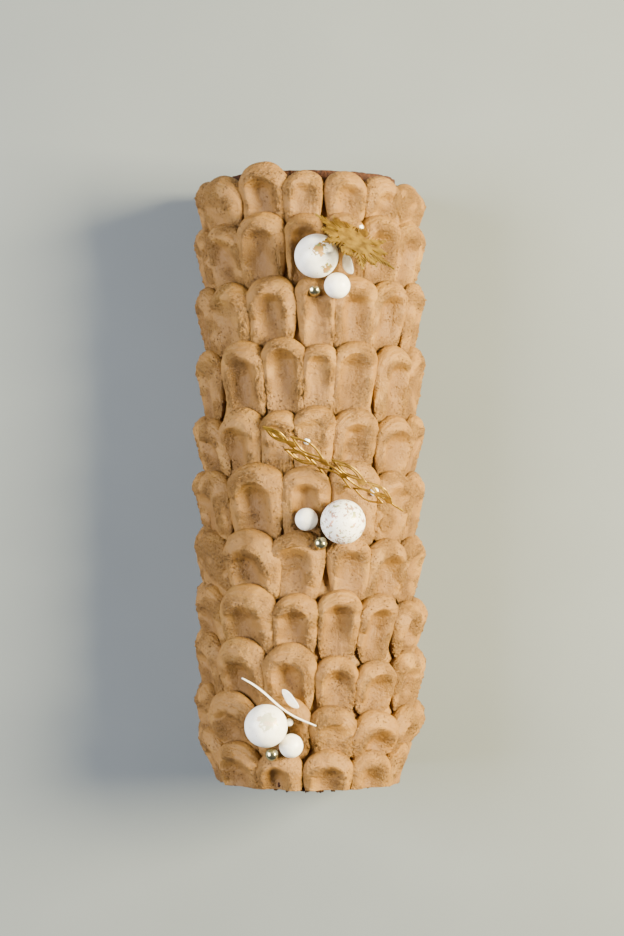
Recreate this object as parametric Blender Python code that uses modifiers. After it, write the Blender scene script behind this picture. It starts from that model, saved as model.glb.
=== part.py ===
"""Frosted yule log: a filled sponge roll, rows of spooned buttercream petals and its toppings.

Metres, +Z up. The log lies along Y on its flat base, and the origin is under its middle.
"""
import math
import random

import bmesh
import bpy
import numpy as np
from mathutils import Matrix, Vector
from mathutils.bvhtree import BVHTree

# Roll: its section is half an ellipse over a flat base with rounded lower corners
ROLL_LENGTH = 0.270
ROLL_HALF_WIDTH = 0.0385
ROLL_SHOULDER_Z = 0.031
ROLL_RISE = 0.0325
CORNER_RADIUS = 0.0162
CORNER_SWEEP = math.radians(60)

# Cream filling, rolled up with the sponge
CREAM_THICKNESS = 0.0042
CREAM_TURNS = 2.15
CREAM_START_SHARE = 0.13
CREAM_END_SHARE = 0.86
CREAM_END_ANGLE = math.radians(-62)
CREAM_STEPS = 46

# Buttercream spread over the roll, under the petals
COAT_HALF_WIDTH = 0.0435
COAT_RISE = 0.0375
COAT_BACK_Y = 0.1335
COAT_FRONT_Y = -0.1345
CORNER_TRIM = 0.012
CORNER_TRIM_FROM = 0.055
CORNER_TRIM_TO = 0.092
TOUCH_GAP = 0.0003

# Petals: one spoonful of buttercream each, its dome towards +Y and dragged out towards -Y
PETAL_CROWN = 0.0082
PETAL_OVERLAP = 1.10
SCOOP_DEPTH = 0.62
SCOOP_HALF_WIDTH = 0.74
SCOOP_HEAD_Y = -0.10
SCOOP_HEAD_RADIUS = 0.62
TAIL_SHARE = 0.30
COVERED_TAIL = 0.010

# Grid of the frosting's outer face: columns round the log, and lines that follow each row's domes
COLUMNS = 78
FOOT_AHEAD = 0.0002
LINES_BEHIND_EDGE = ((0.0005, 0.10), (0.0024, 0.28), (0.0068, 0.52), (0.0130, 0.75))
LEAST_STEP = 0.004
EDGE_INSET = 0.0020

# Each row: where its domes reach along Y, how far it slants over 50 mm round the log, where the
# petal nearest the top line is, and the spacing of the petals to the left and to the right of it
ROWS = (
    (0.1330, -0.0010, -0.0023, 0.0190, 0.0165),
    (0.1150, 0.0000, -0.0019, 0.0185, 0.0168),
    (0.0880, 0.0000, 0.0016, 0.0180, 0.0174),
    (0.0600, 0.0000, 0.0044, 0.0174, 0.0168),
    (0.0300, -0.0005, 0.0024, 0.0166, 0.0178),
    (0.0060, 0.0000, -0.0015, 0.0222, 0.0195),
    (-0.0225, -0.0018, -0.0043, 0.0225, 0.0192),
    (-0.0480, -0.0035, -0.0047, 0.0226, 0.0174),
    (-0.0720, -0.0070, -0.0079, 0.0225, 0.0185),
    (-0.0955, -0.0055, -0.0111, 0.0246, 0.0198),
    (-0.1165, -0.0025, -0.0119, 0.0200, 0.0188),
)
PROUD_ROW = 0
PROUD_PETAL = -1
PROUD_BY = 0.0045
RANDOM_SEED = 11

# Toppings: diameters, and where each stands over the log, seen from above
LARGE_BALLS = ((0.0188, 0.0028, 0.0954), (0.0192, 0.0142, -0.0184), (0.0184, -0.0188, -0.1056))
SMALL_BALLS = ((0.0112, 0.0117, 0.0830), (0.0098, -0.0015, -0.0174), (0.0104, -0.0081, -0.1148))
DRAGEES = ((0.0060, 0.0020, 0.0815), (0.0060, 0.0046, -0.0276), (0.0060, -0.0163, -0.1187))
PEARLS = (
    (0.0036, 0.0214, 0.1087), (0.0032, -0.0013, 0.0163),
    (0.0038, 0.0280, -0.0056), (0.0034, -0.0088, -0.1048),
)

# Gold snowflake: a thin cut plate of feathered rays, pressed in on edge and leaning. Each barb is
# how far it is turned from its ray, as a share of the way to the next ray, and how far out it reaches
FLAKE_RADIUS = 0.0205
FLAKE_HUB_RADIUS = 0.0088
FLAKE_RAYS = 12
FLAKE_THICKNESS = 0.0008
FLAKE_SHORT_RAY = 0.78
FLAKE_BARBS = (
    (-0.50, 0.43), (-0.30, 0.72), (-0.20, 0.66), (-0.13, 0.92), (0.0, 1.0),
    (0.13, 0.92), (0.20, 0.66), (0.30, 0.72),
)
FLAKE_CENTRE = (0.0191, 0.1012, 0.0845)
FLAKE_HEADING = math.radians(-35)
FLAKE_LEAN = math.radians(-68)

# Gold scroll: a thin cut plate of open curls along a waving stem, pressed in on its edge
SCROLL_LENGTH = 0.0697
SCROLL_HALF_HEIGHT = 0.0095
SCROLL_CURLS = 6
SCROLL_TAIL_FROM = 0.82
SCROLL_STEM = 0.0008
SCROLL_THICKNESS = 0.0008
SCROLL_HOLE_HALF_WIDTH = 0.0030
SCROLL_HOLE_SHARE = 0.46
SCROLL_HOLE_LEAN = 0.3
SCROLL_HOLE_LIFT = 0.22
SCROLL_CENTRE = (0.0102, 0.0042, 0.0805)
SCROLL_HEADING = math.radians(-30)
SCROLL_LEAN = math.radians(60)

# White chocolate leaves: length, width, centre, heading, lean from flat, and how much each waves
LEAF_THICKNESS = 0.0009
LEAF_TIP = 0.04
LEAF_CUP = 0.0012
LEAVES = (
    ("white_leaf_long", 0.038, 0.0120, (-0.0136, -0.0962, 0.0785), -33, 78, 0.0006),
    ("white_leaf_round", 0.0105, 0.0042, (-0.0084, -0.0946, 0.0768), -49, 30, 0.0003),
    ("white_leaf_small", 0.009, 0.0050, (0.0165, 0.0925, 0.0755), -70, 35, 0.0003),
)


def clear_scene():
    for item in list(bpy.data.objects):
        bpy.data.objects.remove(item, do_unlink=True)
    for group in list(bpy.data.collections):
        bpy.data.collections.remove(group)


def new_collection(name):
    group = bpy.data.collections.new(name)
    bpy.context.scene.collection.children.link(group)
    return group


def new_material(name, colour, roughness, metallic=0.0):
    material = bpy.data.materials.new(name)
    material.use_nodes = True
    shader = material.node_tree.nodes["Principled BSDF"]
    shader.inputs["Base Color"].default_value = (*colour, 1.0)
    shader.inputs["Roughness"].default_value = roughness
    shader.inputs["Metallic"].default_value = metallic
    return material


clear_scene()
LOG = new_collection("yule_log")
CUTTERS = new_collection("cutters")
BUTTERCREAM = new_material("coffee_buttercream", (0.50, 0.30, 0.13), 0.55)
SPONGE = new_material("chocolate_sponge", (0.17, 0.07, 0.035), 0.9)
FILLING = new_material("cream_filling", (0.62, 0.44, 0.25), 0.5)
WHITE_CHOCOLATE = new_material("white_chocolate", (0.86, 0.81, 0.73), 0.4)
CHAMPAGNE = new_material("champagne_dragee", (0.60, 0.55, 0.42), 0.25, 1.0)
GOLD = new_material("gold_mirror", (0.72, 0.42, 0.10), 0.25, 1.0)


def add_mesh_object(bm, name, material, group):
    mesh = bpy.data.meshes.new(name)
    bm.to_mesh(mesh)
    bm.free()
    mesh.materials.append(material)
    item = bpy.data.objects.new(name, mesh)
    group.objects.link(item)
    return item


def mark_as_cutter(item):
    item.hide_render = True
    item.display_type = "WIRE"
    return item


def smooth_step(low, high, value):
    share = np.clip((value - low) / (high - low), 0.0, 1.0)
    return share * share * (3 - 2 * share)


def roll_outline(grow):
    """Points round the roll's section, as (x, z), grown outwards by the given amount."""
    half_width = ROLL_HALF_WIDTH + grow
    radius = CORNER_RADIUS + grow
    side_z = CORNER_RADIUS * math.sin(CORNER_SWEEP)
    right = []
    for step in range(15):
        angle = math.pi / 2 * step / 14
        rise = ROLL_SHOULDER_Z + (ROLL_RISE + grow) * math.cos(angle)
        right.append((half_width * math.sin(angle), rise))
    for step in range(5):
        angle = CORNER_SWEEP * step / 4
        drop = side_z - radius * math.sin(angle)
        right.append((half_width - radius * (1 - math.cos(angle)), drop))
    left = [(-x, z) for x, z in reversed(right[1:])]
    return right + left


def roll_radius(angle):
    """How far the roll's surface is from its middle, in the direction of the angle."""
    points = roll_outline(0.0)
    angles = np.array([math.atan2(z - ROLL_SHOULDER_Z, x) for x, z in points])
    reaches = np.array([math.hypot(x, z - ROLL_SHOULDER_Z) for x, z in points])
    order = np.argsort(angles)
    reach = float(np.interp(angle, angles[order], reaches[order], period=2 * math.pi))
    if math.sin(angle) < 0:
        reach = min(reach, ROLL_SHOULDER_Z / -math.sin(angle))
    return reach


def cream_outline(grow):
    """Points round the rolled-up filling, as (x, z): its outer face, then back on its inner face."""
    outer = []
    inner = []
    for step in range(CREAM_STEPS + 1):
        share = step / CREAM_STEPS
        lengthen = grow if step == CREAM_STEPS else -grow if step == 0 else 0.0
        sweep = CREAM_TURNS * 2 * math.pi * (1 - share ** 0.75)
        angle = CREAM_END_ANGLE + sweep
        fraction = CREAM_START_SHARE + (CREAM_END_SHARE - CREAM_START_SHARE) * share ** 0.75
        middle = roll_radius(angle) * fraction
        angle -= lengthen / middle
        half = CREAM_THICKNESS / 2 + grow
        for side, reach in ((outer, middle + half), (inner, middle - half)):
            side.append((reach * math.cos(angle), ROLL_SHOULDER_Z + reach * math.sin(angle)))
    return outer + inner[::-1]


def add_extrusion(name, outlines, length, material, group):
    """A prism along Y: a filled flat curve, whose second outline is cut out of the first."""
    curve = bpy.data.curves.new(name, "CURVE")
    curve.dimensions = "2D"
    curve.fill_mode = "BOTH"
    curve.extrude = length / 2
    for outline in outlines:
        spline = curve.splines.new("POLY")
        spline.points.add(len(outline) - 1)
        for point, (x, z) in zip(spline.points, outline):
            point.co = (x, z, 0.0, 1.0)
        spline.use_cyclic_u = True
    curve.materials.append(material)
    item = bpy.data.objects.new(name, curve)
    item.rotation_euler = (math.pi / 2, 0.0, 0.0)
    group.objects.link(item)
    return item


def curve_to_mesh_object(item):
    """The same object as a closed mesh, with its caps welded to its sides."""
    bpy.context.view_layer.update()
    depsgraph = bpy.context.evaluated_depsgraph_get()
    mesh = bpy.data.meshes.new_from_object(item.evaluated_get(depsgraph))
    bm = bmesh.new()
    bm.from_mesh(mesh)
    bmesh.ops.remove_doubles(bm, verts=bm.verts, dist=0.00002)
    bmesh.ops.recalc_face_normals(bm, faces=bm.faces)
    bm.to_mesh(mesh)
    bm.free()
    name = item.name
    solid = bpy.data.objects.new(name + "_mesh", mesh)
    solid.matrix_world = item.matrix_world
    for group in item.users_collection:
        group.objects.link(solid)
    bpy.data.objects.remove(item, do_unlink=True)
    solid.name = name
    return solid


def coat_side():
    """The coat's right side, from the top line down to the base: arc length, x, z and normal."""
    angles = np.linspace(0, math.pi / 2, 181)
    drop = np.linspace(0, 1, 61)[1:]
    x = np.concatenate([COAT_HALF_WIDTH * np.sin(angles), np.full_like(drop, COAT_HALF_WIDTH)])
    z = np.concatenate([ROLL_SHOULDER_Z + COAT_RISE * np.cos(angles), ROLL_SHOULDER_Z * (1 - drop)])
    arc = np.concatenate([[0.0], np.cumsum(np.hypot(np.diff(x), np.diff(z)))])
    lean = np.arctan2(np.sin(angles) / COAT_HALF_WIDTH, np.cos(angles) / COAT_RISE)
    lean = np.concatenate([lean, np.full_like(drop, math.pi / 2)])
    return arc, x, z, np.sin(lean), np.cos(lean)


SIDE_ARC, SIDE_X, SIDE_Z, SIDE_NX, SIDE_NZ = coat_side()
SIDE_END = float(SIDE_ARC[-1])


def on_coat(across, along, height):
    """A point over the coat: across is arc length from the top line, height is along the normal."""
    arc = abs(across)
    x = np.interp(arc, SIDE_ARC, SIDE_X) + height * np.interp(arc, SIDE_ARC, SIDE_NX)
    z = np.interp(arc, SIDE_ARC, SIDE_Z) + height * np.interp(arc, SIDE_ARC, SIDE_NZ)
    return Vector((math.copysign(x, across), along, max(z, 0.0)))


def scoop_share(x, y):
    """How far the back of the spoon went in, 0 to 1, at points of the petal's unit disc."""
    head = np.maximum((y - SCOOP_HEAD_Y) / SCOOP_HEAD_RADIUS, 0.0)
    reach = (x / SCOOP_HALF_WIDTH) ** 2 + head ** 2
    return smooth_step(0.0, 0.75, 1 - reach)


def petal_height(x, y, crown):
    """Height of the petal over the coat at points of its unit disc, with its dome at y = 1."""
    loaf = np.sqrt(np.maximum(1 - np.hypot(x, y) ** 3, 0.0))
    taper = TAIL_SHARE + (1 - TAIL_SHARE) * smooth_step(-1.0, 0.3, y)
    return crown * loaf * taper * (1 - SCOOP_DEPTH * scoop_share(x, y))


def petal_stations(centre, left_pitch, right_pitch):
    """Arc length of each petal's middle round one row, with its count from the top line."""
    limit = SIDE_END + 0.006
    count_left = int((limit + centre) / left_pitch)
    count_right = int((limit - centre) / right_pitch)
    stations = []
    for number in range(-count_left, count_right + 1):
        pitch = left_pitch if number < 0 else right_pitch
        stations.append((number, centre + number * pitch, pitch))
    return stations


def plan_petals():
    """Every petal, row by row, as (across, along, width, length, crown)."""
    draw = random.Random(RANDOM_SEED)
    ends = [row[0] for row in ROWS[1:]] + [COAT_FRONT_Y + COVERED_TAIL]
    rows = []
    for row, (station, slant, centre, left_pitch, right_pitch) in enumerate(ROWS):
        petals = []
        length = station - ends[row] + COVERED_TAIL
        for number, across, pitch in petal_stations(centre, left_pitch, right_pitch):
            along = station + slant * across / 0.050 + draw.uniform(-0.0012, 0.0012)
            if row == PROUD_ROW and number == PROUD_PETAL:
                along += PROUD_BY
            width = pitch * PETAL_OVERLAP * draw.uniform(0.96, 1.05)
            crown = PETAL_CROWN * draw.uniform(0.90, 1.08)
            shift = draw.uniform(-0.0008, 0.0008)
            petals.append((across + shift, along, width, length, crown))
        rows.append(petals)
    return rows


def dome_edge(petals, across):
    """How far along the log a row's domes reach at the given arc lengths: a scalloped line."""
    middles = [middle for middle, _, _, _, _ in petals]
    shoulders = [along - width / 2 for _, along, width, _, _ in petals]
    edge = np.interp(across, middles, shoulders)
    for middle, along, width, _, _ in petals:
        nose = width / 2
        offset = np.abs(across - middle) / nose
        reach = along - nose + nose * np.sqrt(np.maximum(1 - offset ** 2, 0.0))
        edge = np.where(offset < 1.0, np.maximum(edge, reach), edge)
    return edge


def frosting_height(rows, across, along):
    """Height of the frosting over the coat: the highest of the petals there."""
    height = np.zeros_like(across)
    for petals in rows:
        for middle, reach, width, length, crown in petals:
            nose = width / 2
            x = (across - middle) / nose
            offset = along - (reach - nose)
            y = np.where(offset > 0, offset / nose, offset / (length - nose))
            inside = np.hypot(x, y) < 1
            height = np.where(inside, np.maximum(height, petal_height(x, y, crown)), height)
    return height


def front_line(across):
    """Where the frosting ends at the front: straight, but trimmed back at the right-hand foot."""
    return COAT_FRONT_Y + CORNER_TRIM * smooth_step(CORNER_TRIM_FROM, CORNER_TRIM_TO, across)


def frosting_lines(rows, across):
    """The grid's lines from the back end to the front: the y of each at every column."""
    edges = [dome_edge(petals, across) for petals in rows] + [front_line(across)]
    edges[0] = np.maximum(edges[0], COAT_BACK_Y)
    for row in range(1, len(rows)):
        room_left = (len(rows) - row) * LEAST_STEP
        edges[row] = np.clip(edges[row], edges[-1] + room_left, edges[row - 1] - LEAST_STEP)
    lines = []
    for edge, following in zip(edges, edges[1:]):
        gap = edge - following
        lines.append(edge + (FOOT_AHEAD if lines else 0.0))
        for behind, most_share in LINES_BEHIND_EDGE:
            lines.append(edge - np.minimum(behind, most_share * gap))
    lines.append(edges[-1])
    return lines


def add_frosting():
    """The frosting before it is cut: a grid laid over the coat, closed along its foot and its ends."""
    across = np.linspace(-SIDE_END, SIDE_END, COLUMNS + 1)
    rows = plan_petals()
    lines = frosting_lines(rows, across)
    heights = [frosting_height(rows, across, line) for line in lines]
    flat_back = np.full_like(across, COAT_BACK_Y - EDGE_INSET)
    sunk = np.full_like(across, -EDGE_INSET)
    lines = [flat_back] + lines + [front_line(across)]
    heights = [sunk] + heights + [sunk]
    last = len(lines) - 1
    bm = bmesh.new()
    bmesh.ops.create_grid(bm, x_segments=COLUMNS, y_segments=last, size=1.0)
    left = {}
    right = {}
    for vert in bm.verts:
        column = round((vert.co.x + 1) / 2 * COLUMNS)
        line = round((1 - vert.co.y) / 2 * last)
        vert.co = on_coat(across[column], lines[line][column], heights[line][column])
        if column == 0:
            left[line] = vert
        if column == COLUMNS:
            right[line] = vert
    feet = [bm.edges.get((side[line], side[line + 1])) for side in (left, right) for line in range(last)]
    bmesh.ops.bridge_loops(bm, edges=feet)
    bmesh.ops.holes_fill(bm, edges=[edge for edge in bm.edges if edge.is_boundary], sides=0)
    bmesh.ops.triangulate(bm, faces=bm.faces)
    bmesh.ops.recalc_face_normals(bm, faces=bm.faces)
    return add_mesh_object(bm, "frosting", BUTTERCREAM, LOG)


def apply_boolean(item, operation, group, solver):
    modifier = item.modifiers.new(operation.title(), "BOOLEAN")
    modifier.operation = operation
    modifier.operand_type = "COLLECTION"
    modifier.collection = group
    modifier.solver = solver
    bpy.context.view_layer.update()
    depsgraph = bpy.context.evaluated_depsgraph_get()
    mesh = bpy.data.meshes.new_from_object(item.evaluated_get(depsgraph))
    item.modifiers.clear()
    item.data = mesh
    mesh.name = item.name


def resting_height(x, y, radius):
    """The z of a ball's centre where the ball, let down at (x, y), just clears the frosting."""
    low = ROLL_SHOULDER_Z
    high = 0.12
    for _ in range(24):
        middle = (low + high) / 2
        _, _, _, distance = FROSTING_TREE.find_nearest((x, y, middle))
        inside = FROSTING_TREE.ray_cast((x, y, middle), (0.0, 0.0, 1.0))[0] is not None
        if inside or distance < radius + TOUCH_GAP:
            low = middle
        else:
            high = middle
    return high


def add_ball(name, diameter, x, y, segments, material):
    """A round topping resting on the frosting."""
    bm = bmesh.new()
    bmesh.ops.create_uvsphere(bm, u_segments=segments, v_segments=segments * 5 // 8, radius=diameter / 2)
    item = add_mesh_object(bm, name, material, LOG)
    item.location = (x, y, resting_height(x, y, diameter / 2))
    item.data.shade_smooth()


def cut_slot_for(item):
    """The cutter for the slot that a thin plate stands in: its own box, a touch larger."""
    bpy.context.view_layer.update()
    corners = np.array(item.evaluated_get(bpy.context.evaluated_depsgraph_get()).bound_box)
    size = corners.max(axis=0) - corners.min(axis=0) + 2 * TOUCH_GAP
    middle = (corners.max(axis=0) + corners.min(axis=0)) / 2
    bm = bmesh.new()
    bmesh.ops.create_cube(bm, size=1.0)
    bmesh.ops.transform(bm, matrix=Matrix.Translation(middle) @ Matrix.Diagonal((*size, 1.0)), verts=bm.verts)
    slot = mark_as_cutter(add_mesh_object(bm, "slot_for_" + item.name, item.active_material, SLOTS))
    slot.matrix_world = item.matrix_world


def set_plate(item, centre, heading, lean):
    """Stand a flat plate over the log: turned to its heading, then leant from flat about its length."""
    item.matrix_world = (
        Matrix.Translation(centre) @ Matrix.Rotation(heading, 4, "Z") @ Matrix.Rotation(lean, 4, "X")
    )


def flake_outline():
    """A hub with feathered rays, long and short by turns, each with two barbs a side."""
    outline = []
    for ray in range(FLAKE_RAYS):
        reach = FLAKE_RADIUS * (1.0 if ray % 2 == 0 else FLAKE_SHORT_RAY)
        for turn, share in FLAKE_BARBS:
            angle = 2 * math.pi * (ray + turn) / FLAKE_RAYS
            out = max(reach * share, FLAKE_HUB_RADIUS)
            outline.append((out * math.cos(angle), out * math.sin(angle)))
    return outline


def scroll_half_height(share, phase):
    """Half the scroll's height part-way along it: a leaf shape with a waved edge and a long thin tail."""
    swell = max(math.sin(math.pi * min(share / SCROLL_TAIL_FROM, 1.0)), 0.0) ** 0.6
    wave = 0.82 + 0.18 * math.cos(2 * math.pi * (share * SCROLL_CURLS + phase))
    return SCROLL_HALF_HEIGHT * swell * wave + SCROLL_STEM


def scroll_outlines():
    """The scroll's edge, and a leaning round hole in each of its curls."""
    steps = 7 * SCROLL_CURLS
    upper = []
    lower = []
    for step in range(steps + 1):
        share = step / steps
        middle = (share - 0.5) * SCROLL_LENGTH
        upper.append((middle, scroll_half_height(share, 0.25)))
        lower.append((middle, -scroll_half_height(share, -0.25)))
    holes = []
    for curl in range(SCROLL_CURLS - 1):
        share = SCROLL_TAIL_FROM * (curl + 0.9) / (SCROLL_CURLS + 0.6)
        half = scroll_half_height(share, 0.5)
        lift = SCROLL_HOLE_LIFT * half * (1 if curl % 2 else -1)
        hole = []
        for step in range(9):
            angle = 2 * math.pi * step / 9
            across = SCROLL_HOLE_HALF_WIDTH * math.cos(angle)
            rise = SCROLL_HOLE_SHARE * half * math.sin(angle)
            hole.append(((share - 0.5) * SCROLL_LENGTH + across + SCROLL_HOLE_LEAN * rise, lift + rise))
        holes.append(hole)
    return [lower + upper[::-1]] + holes


def add_plate(name, outlines, thickness):
    """A thin flat gold plate with holes: a filled flat curve, in its own plane."""
    item = add_extrusion(name, outlines, thickness, GOLD, LOG)
    item.rotation_euler = (0.0, 0.0, 0.0)
    return curve_to_mesh_object(item)


def add_leaf(name, length, width, wave):
    """A thin pointed leaf with a wavy blade: a grid drawn in to its tips, then given its thickness."""
    bm = bmesh.new()
    bmesh.ops.create_grid(bm, x_segments=8, y_segments=2, size=1.0)
    for vert in bm.verts:
        x, y, _ = vert.co
        spread = max(1 - x * x, LEAF_TIP) ** 0.6
        ripple = wave * math.sin(3.2 * x + 0.6) + LEAF_CUP * y * y * spread
        vert.co = (x * length / 2, y * width / 2 * spread, ripple)
    bmesh.ops.triangulate(bm, faces=bm.faces)
    item = add_mesh_object(bm, name, WHITE_CHOCOLATE, LOG)
    wall = item.modifiers.new("Thickness", "SOLIDIFY")
    wall.thickness = LEAF_THICKNESS
    wall.offset = 0.0
    return item


# Sponge and filling
room = add_extrusion("room_for_roll", [roll_outline(TOUCH_GAP)], ROLL_LENGTH + 0.04, SPONGE, CUTTERS)
mark_as_cutter(curve_to_mesh_object(room))
add_extrusion("sponge_roll", [roll_outline(0.0), cream_outline(TOUCH_GAP)], ROLL_LENGTH, SPONGE, LOG)
add_extrusion("cream_filling", [cream_outline(0.0)], ROLL_LENGTH, FILLING, LOG)

# Frosting
frosting = add_frosting()
apply_boolean(frosting, "DIFFERENCE", CUTTERS, "MANIFOLD")

# Plates and leaves that stand in the frosting, and their slots
SLOTS = new_collection("slots")
flake = add_plate("gold_snowflake", [flake_outline()], FLAKE_THICKNESS)
set_plate(flake, FLAKE_CENTRE, FLAKE_HEADING, FLAKE_LEAN)
cut_slot_for(flake)
scroll = add_plate("gold_scroll", scroll_outlines(), SCROLL_THICKNESS)
set_plate(scroll, SCROLL_CENTRE, SCROLL_HEADING, SCROLL_LEAN)
cut_slot_for(scroll)
for name, length, width, centre, heading, lean, wave in LEAVES:
    leaf = add_leaf(name, length, width, wave)
    set_plate(leaf, centre, math.radians(heading), math.radians(lean))
    cut_slot_for(leaf)
apply_boolean(frosting, "DIFFERENCE", SLOTS, "MANIFOLD")

# Round toppings, which rest on it
FROSTING_TREE = BVHTree.FromPolygons(
    [vert.co for vert in frosting.data.vertices], [face.vertices for face in frosting.data.polygons]
)
for number, (diameter, x, y) in enumerate(LARGE_BALLS, 1):
    add_ball(f"ball_large_{number}", diameter, x, y, 16, WHITE_CHOCOLATE)
for number, (diameter, x, y) in enumerate(SMALL_BALLS, 1):
    add_ball(f"ball_small_{number}", diameter, x, y, 12, WHITE_CHOCOLATE)
for number, (diameter, x, y) in enumerate(DRAGEES, 1):
    add_ball(f"dragee_{number}", diameter, x, y, 10, CHAMPAGNE)
for number, (diameter, x, y) in enumerate(PEARLS, 1):
    add_ball(f"pearl_{number}", diameter, x, y, 8, WHITE_CHOCOLATE)
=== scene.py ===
import math
import random

import bmesh
import bpy
import numpy as np
from mathutils import Matrix, Vector, noise


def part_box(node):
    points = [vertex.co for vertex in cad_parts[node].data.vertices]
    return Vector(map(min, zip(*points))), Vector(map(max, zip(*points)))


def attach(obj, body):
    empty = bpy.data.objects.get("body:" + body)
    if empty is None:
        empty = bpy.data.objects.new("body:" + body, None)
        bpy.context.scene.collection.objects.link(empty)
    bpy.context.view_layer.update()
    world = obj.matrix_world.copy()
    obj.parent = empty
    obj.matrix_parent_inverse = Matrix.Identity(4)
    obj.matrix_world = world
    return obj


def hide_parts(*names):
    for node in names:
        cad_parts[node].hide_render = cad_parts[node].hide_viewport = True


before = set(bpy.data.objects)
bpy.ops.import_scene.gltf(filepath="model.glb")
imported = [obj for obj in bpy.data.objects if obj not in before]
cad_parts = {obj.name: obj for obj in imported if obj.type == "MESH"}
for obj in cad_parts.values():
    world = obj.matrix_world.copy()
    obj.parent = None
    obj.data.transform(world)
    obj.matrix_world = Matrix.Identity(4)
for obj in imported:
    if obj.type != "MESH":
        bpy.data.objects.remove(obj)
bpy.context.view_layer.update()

# Sponge roll
# A thin chocolate sponge, baked flat and rolled up with its filling, then set down on its seam.
# It is one long sheet wound from the middle outwards, and its two trimmed ends show the crumb.
ROLL_LENGTH = 0.270
ROLL_HALF_WIDTH = 0.0385
ROLL_SHOULDER_Z = 0.031
ROLL_RISE = 0.0325
CORNER_RADIUS = 0.0162
CORNER_SWEEP = math.radians(60)
CREAM_THICKNESS = 0.0042
CREAM_TURNS = 2.15
CREAM_START_SHARE = 0.13
CREAM_END_SHARE = 0.86
CREAM_END_ANGLE = math.radians(-62)
TOUCH_GAP = 0.0003
THINNEST_SHEET = 0.0008
EYE_CLOSED_FROM = 0.86
MERGE_DISTANCE = 0.00001
CRUMB_PIT = 0.0009
CRUMB_CELL = 0.0022
CRUMB_CELL_SHARPNESS = 2.2
SPONGE_UNEVENNESS = 0.0004
# Painted shade: the colour deep in the crumb's holes
SPONGE_HOLE_SHADE = "#2C190F"
SPONGE_MID = "#341B0E"
SPONGE_LIGHT = "#432412"


def to_linear(hex_colour):
    """An sRGB hex colour as the linear colour that a shader takes."""
    parts = [int(hex_colour[place:place + 2], 16) / 255 for place in (1, 3, 5)]
    linear = [part / 12.92 if part <= 0.04045 else ((part + 0.055) / 1.055) ** 2.4 for part in parts]
    return (*linear, 1.0)


def add_node(material, kind, inputs=None, **settings):
    """One shader node with its settings, its values and its links."""
    node = material.node_tree.nodes.new(kind)
    for name, value in settings.items():
        setattr(node, name, value)
    for socket, value in (inputs or {}).items():
        if isinstance(value, bpy.types.NodeSocket):
            material.node_tree.links.new(value, node.inputs[socket])
        else:
            node.inputs[socket].default_value = value
    return node


def new_finish(name):
    """An empty material, and its Object coordinates for its textures."""
    material = bpy.data.materials.new(name)
    material.use_nodes = True
    material.node_tree.nodes.clear()
    return material, add_node(material, "ShaderNodeTexCoord").outputs["Object"]


def add_noise(material, where, scale, detail, roughness=0.5):
    """A noise texture: how fine it is, how many finer layers it has, and how strong those are."""
    return add_node(material, "ShaderNodeTexNoise", {
        "Vector": where, "Scale": scale, "Detail": detail, "Roughness": roughness})


def add_bump(material, height, distance, strength, below=None):
    """The normal of a bumpy surface: how far its height lifts it, in metres, over the bumps below."""
    inputs = {"Height": height, "Distance": distance, "Strength": strength}
    if below is not None:
        inputs["Normal"] = below
    return add_node(material, "ShaderNodeBump", inputs).outputs["Normal"]


def add_skin(material, inputs):
    """The shader of a plain finish, joined to its surface."""
    skin = add_node(material, "ShaderNodeBsdfPrincipled", inputs)
    add_node(material, "ShaderNodeOutputMaterial", {"Surface": skin.outputs["BSDF"]})


def colour_ramp(material, factor, stops):
    """A colour ramp fed by a factor: its stops are (position, hex colour)."""
    node = add_node(material, "ShaderNodeValToRGB", {"Fac": factor})
    ramp = node.color_ramp
    while len(ramp.elements) < len(stops):
        ramp.elements.new(0.5)
    for element, (position, colour) in zip(ramp.elements, stops):
        element.position = position
        element.color = to_linear(colour)
    return node.outputs["Color"]


def finish_piece(bm, name, material, nodes, smooth=True):
    """The modelled piece as an object at the origin, riding on the log and standing for its nodes."""
    mesh = bpy.data.meshes.new(name)
    bm.to_mesh(mesh)
    bm.free()
    mesh.materials.append(material)
    if smooth:
        mesh.shade_smooth()
    piece = bpy.data.objects.new(name, mesh)
    bpy.context.scene.collection.objects.link(piece)
    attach(piece, "root")
    if nodes:
        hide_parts(*nodes)
    return piece


def made_verts(made):
    """The verts among what a bmesh operator made."""
    return [item for item in made["geom"] if isinstance(item, bmesh.types.BMVert)]


def smooth_step(low, high, value):
    """Eased share of the way from low to high, from 0 to 1."""
    share = np.clip((value - low) / (high - low), 0.0, 1.0)
    return share * share * (3 - 2 * share)


def roll_section():
    """Angle and reach of points round the roll's section, from its middle."""
    side_z = CORNER_RADIUS * math.sin(CORNER_SWEEP)
    angles = np.linspace(0, math.pi / 2, 91)
    corner = np.linspace(0, CORNER_SWEEP, 31)
    straight = np.linspace(0, side_z - ROLL_SHOULDER_Z, 20)[1:-1]
    x = np.concatenate([ROLL_HALF_WIDTH * np.sin(angles), np.full_like(straight, ROLL_HALF_WIDTH),
                        ROLL_HALF_WIDTH - CORNER_RADIUS * (1 - np.cos(corner))])
    z = np.concatenate([ROLL_RISE * np.cos(angles), straight,
                        side_z - CORNER_RADIUS * np.sin(corner) - ROLL_SHOULDER_Z])
    turns = np.concatenate([np.arctan2(z, x), np.arctan2(z[1:], -x[1:])])
    reaches = np.concatenate([np.hypot(x, z), np.hypot(x[1:], z[1:])])
    order = np.argsort(turns)
    return turns[order], reaches[order]


SECTION_ANGLES, SECTION_REACHES = roll_section()


def roll_radius(angle):
    """How far the roll's surface is from its middle, in the direction of the angle."""
    reach = float(np.interp(angle, SECTION_ANGLES, SECTION_REACHES, period=2 * math.pi))
    if math.sin(angle) < 0:
        reach = min(reach, ROLL_SHOULDER_Z / -math.sin(angle))
    return reach


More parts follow.
